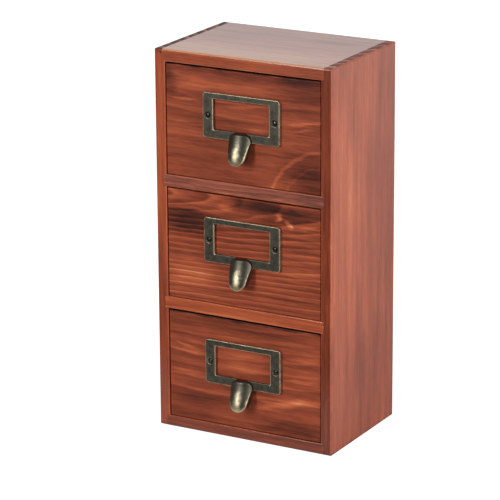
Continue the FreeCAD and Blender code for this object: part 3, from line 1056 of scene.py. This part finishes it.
@dataclass(frozen=True)
class Studio:
    """White table, soft lamps and a long lens at the height of a standing eye."""

    target: tuple[float, float, float] = (0.0, 0.0, 0.135)
    azimuth: float = math.radians(29.37)
    elevation: float = math.radians(17.025)
    roll: float = math.radians(-0.385)
    distance: float = 1.93
    slide: float = -18.35 * MM
    lift: float = -9.97 * MM
    lens: float = 201.58
    sensor: float = 36.0
    table_reach: float = 6.0
    table_front: float = 0.22
    speck_scale: float = 60.0
    seen_glow: float = 0.75
    mirrored_glow: float = 0.33
    mirrored_from: tuple[float, float] = (0.25, 0.9)
    flag_edge: tuple[float, float] = (-0.2, -0.12)
    room_fill: float = 0.28
    room_turn: tuple[float, float] = (-0.1, 0.5)
    room_mirrored: tuple[float, float] = (0.024, 0.8)

    def camera(self) -> None:
        """Set the camera at the photographed angle, aimed past the middle of the case."""
        sight = Vector((math.sin(self.azimuth) * math.cos(self.elevation),
                        -math.cos(self.azimuth) * math.cos(self.elevation),
                        math.sin(self.elevation)))
        level = (-sight).cross(Vector((0, 0, 1))).normalized()
        upward = level.cross(-sight)
        right = level * math.cos(self.roll) + upward * math.sin(self.roll)
        up = upward * math.cos(self.roll) - level * math.sin(self.roll)
        eye = Vector(self.target) + sight * self.distance + right * self.slide + up * self.lift
        data = bpy.data.cameras.new("camera")
        data.lens = self.lens
        data.sensor_width = self.sensor
        camera = bpy.data.objects.new("camera", data)
        turned = Matrix((right, up, sight)).transposed().to_4x4()
        camera.matrix_world = Matrix.Translation(eye) @ turned
        bpy.context.collection.objects.link(camera)
        bpy.context.scene.camera = camera

    def lamp(self, name: str, place: tuple[float, float, float], size: tuple[float, float],
             power: float) -> None:
        """Hang one soft panel, facing the cabinet.

        Args:
            name: name of the lamp.
            place: middle of the panel.
            size: width and height of the panel.
            power: watts.
        """
        data = bpy.data.lights.new(name, "AREA")
        data.shape = "RECTANGLE"
        data.size, data.size_y = size
        data.energy = power
        lamp = bpy.data.objects.new(name, data)
        lamp.location = place
        aim = Vector(self.target) - Vector(place)
        lamp.rotation_euler = aim.to_track_quat("-Z", "Y").to_euler()
        bpy.context.collection.objects.link(lamp)

    def table(self) -> None:
        """Lay the white table, which the eye sees lifted to white but for the cabinet's shadow."""
        far = self.table_reach
        near = -self.table_front
        corners = [(-far, near, 0), (far, near, 0), (far, far, 0), (-far, far, 0)]
        mesh = bpy.data.meshes.new("table")
        mesh.from_pydata(corners, [], [(0, 1, 2, 3)])
        material = new_material("white_table_paint")
        tree = material.node_tree
        place = add(tree, "TexCoord").outputs["Object"]
        speck = add(tree, "TexNoise", {"Vector": place, "Scale": self.speck_scale, "Detail": 3.0})
        colour = add(tree, "ValToRGB", (speck,), stops=((0.0, "#E6E6E5"), (1.0, "#EAEAE9")))
        paint_coat = add(tree, "BsdfDiffuse", (colour,))
        rays = add(tree, "LightPath").outputs
        away = add(tree, "VectorMath", (place,), operation="LENGTH").outputs["Value"]
        away = add(tree, "MapRange", (away, *self.mirrored_from, 0.0, self.mirrored_glow))
        mirrored = add(tree, "Math", (rays["Is Glossy Ray"], away), operation="MULTIPLY")
        glow = add(tree, "Math", (rays["Is Camera Ray"], self.seen_glow, mirrored),
                   operation="MULTIPLY_ADD")
        glow = add(tree, "Emission", {"Strength": glow})
        white = add(tree, "AddShader", (paint_coat, glow))
        # The table's front edge is dark in reflections, as under a black flag.
        ahead = add(tree, "SeparateXYZ", (place,)).outputs["Y"]
        ahead = add(tree, "MapRange", (ahead, *self.flag_edge, 1.0, 0.0))
        flagged = add(tree, "Math", (rays["Is Glossy Ray"], ahead), operation="MULTIPLY")
        flag = add(tree, "BsdfDiffuse", (linear("#2A2A2A"),))
        surface = add(tree, "MixShader", (flagged, white, flag))
        add(tree, "OutputMaterial", (surface,))
        mesh.materials.append(material)
        table = bpy.data.objects.new("table", mesh)
        bpy.context.collection.objects.link(table)

    def surroundings(self) -> None:
        """White room: plain fill for matt light, a white backdrop and a dim front for reflections."""
        world = bpy.data.worlds.new("studio")
        world.use_nodes = True
        tree = world.node_tree
        tree.nodes.clear()
        rays = add(tree, "LightPath").outputs
        direction = add(tree, "SeparateXYZ", (add(tree, "TexCoord").outputs["Generated"],)).outputs
        behind = add(tree, "MapRange", (direction["Y"], *self.room_turn, *self.room_mirrored))
        fill = add(tree, "Math", (rays["Is Diffuse Ray"], self.room_fill), operation="MULTIPLY")
        glossy = add(tree, "Math", (rays["Is Glossy Ray"], behind), operation="MULTIPLY")
        seen = add(tree, "Math", (rays["Is Camera Ray"], rays["Is Transmission Ray"]),
                   operation="MAXIMUM")
        strength = add(tree, "Math", (fill, glossy), operation="ADD")
        strength = add(tree, "Math", (strength, seen), operation="ADD")
        light = add(tree, "Background", (linear("#FFFFFF"), strength))
        add(tree, "OutputWorld", (light,))
        bpy.context.scene.world = world

    def build(self) -> None:
        """Set up the table, the lamps, the surroundings and the camera."""
        self.table()
        # Soft light from the upper left front.
        self.lamp("key_lamp", (-0.5, -1.5, 0.75), (0.45, 0.8), 14.5)
        # Sheen on the pulls and rails.
        self.lamp("low_strip", (-0.46, -1.43, 0.27), (0.3, 0.32), 2.5)
        # Glint on the right-hand edges.
        self.lamp("edge_card", (0.45, -0.29, 0.08), (0.15, 0.16), 0.12)
        # The right side, and then the back for views from behind.
        self.lamp("side_lamp", (0.95, -0.2, 0.4), (0.5, 0.6), 7.0)
        self.lamp("back_lamp", (0.0, 1.5, 0.12), (0.8, 0.2), 7.0)
        self.surroundings()
        self.camera()
        bpy.context.scene.view_settings.view_transform = "Standard"


FRONT_FIGURES = (
    Figure(Grain.FRONT, 31.0, tone=0.52, ring_width=8.0, pith_across=-24.0, pith_depth=28.0,
           slope=0.03, bow=0.0012, fan=-0.002, ring_contrast=0.16, streak_contrast=0.22,
           painted_gap_shade=-0.1, marks=(
               Mark(0, 39, 90, 6, -0.16),
               # Painted shade: a dark band along the top edge, for the shadow in the gap under the top.
               Mark(0, 39.2, 300, 1.5, -0.3),
               Mark(-58, 28, 8, 14, -0.2),
               Mark(-40, 26, 20, 6, 0.2),
               Mark(-8, 27, 30, 4, 0.12),
               Mark(46, 30, 26, 13, -0.22),
               Mark(-45, 15.5, 17, 1.3, 0.24, tilt=-2),
               Mark(0, 14.5, 22, 1.7, 0.22, tilt=4),
               Mark(-49, 0.3, 11, 1.3, 0.18),
               Mark(12, 0, 10, 1.5, 0.18, tilt=3),
               Mark(45, 8, 17, 1.4, 0.22, tilt=9),
               Mark(45, 3.5, 17, 1.1, 0.14, tilt=9),
               Mark(66, -46, 46, 38, 0.18, tilt=8, hollow=True),
               Mark(66, -48, 36, 30, 0.08, tilt=8, hollow=True),
               Mark(50, -28, 25, 21, -0.28))),
    Figure(Grain.FRONT, 47.0, tone=0.51, ring_width=3.8, pith_across=35.0, pith_depth=8.0,
           lean=0.13, ring_contrast=0.38, streak_contrast=0.24, wander=3.0, marks=(
               Mark(-37.5, 26.5, 22, 1.6, 0.24, tilt=2),
               Mark(-11.5, 32.5, 9, 4, 0.28, tilt=12),
               Mark(15.6, 34, 30, 7, -0.34),
               Mark(42, 31, 20, 8, -0.2),
               Mark(27, 28.9, 4.0, 2.2, 0.44, tilt=45),
               Mark(34.3, 24.7, 4.6, 2.0, 0.4, tilt=-35),
               Mark(48.4, 24.2, 12, 1.5, 0.18, tilt=12),
               Mark(-44, 17, 26, 13, -0.32),
               Mark(10, 14, 50, 8, -0.07),
               Mark(-42, -22, 28, 18, 0.2))),
    Figure(Grain.FRONT, 63.0, tone=0.51, ring_width=7.0, pith_across=-40.0, pith_depth=25.0,
           slope=0.04, bow=0.0006, ring_contrast=0.22, painted_gap_shade=-0.3,
           marks=(
               Mark(-10, 34, 70, 9, -0.14),
               # Painted shade: a dark band along the top edge, for the shadow in the gap under the
               # lower divider.
               Mark(0, 39.2, 300, 1.9, -0.45),
               Mark(-46, 15, 16, 1.8, 0.22, tilt=-14),
               Mark(-44, 10.5, 16, 1.5, 0.2, tilt=-3),
               Mark(0, 15, 22, 4, 0.2, tilt=5),
               Mark(0, 5, 22, 6, 0.17),
               Mark(45, 18, 17, 2.6, 0.2, tilt=4),
               Mark(45, 2.5, 17, 1.9, 0.2, tilt=5),
               Mark(-46, -4, 16, 1.8, 0.18, tilt=-3),
               Mark(32, -16, 30, 3.6, 0.32, tilt=12),
               Mark(-40, -26, 40, 14, -0.13),
               Mark(36, -33, 50, 10, -0.16))),
)


def main() -> None:
    """Finish the case, build and finish the drawers, and set up the studio."""
    logging.basicConfig(level=logging.INFO, format="%(message)s")
    finishes = Finishes.mix()
    Case(finishes).dress()
    for number, figure in enumerate(FRONT_FIGURES, start=1):
        drawer = Drawer(number, finishes, figure)
        drawer.dress()
        drawer.build()
    Studio().build()


if __name__ == "__main__":
    main()
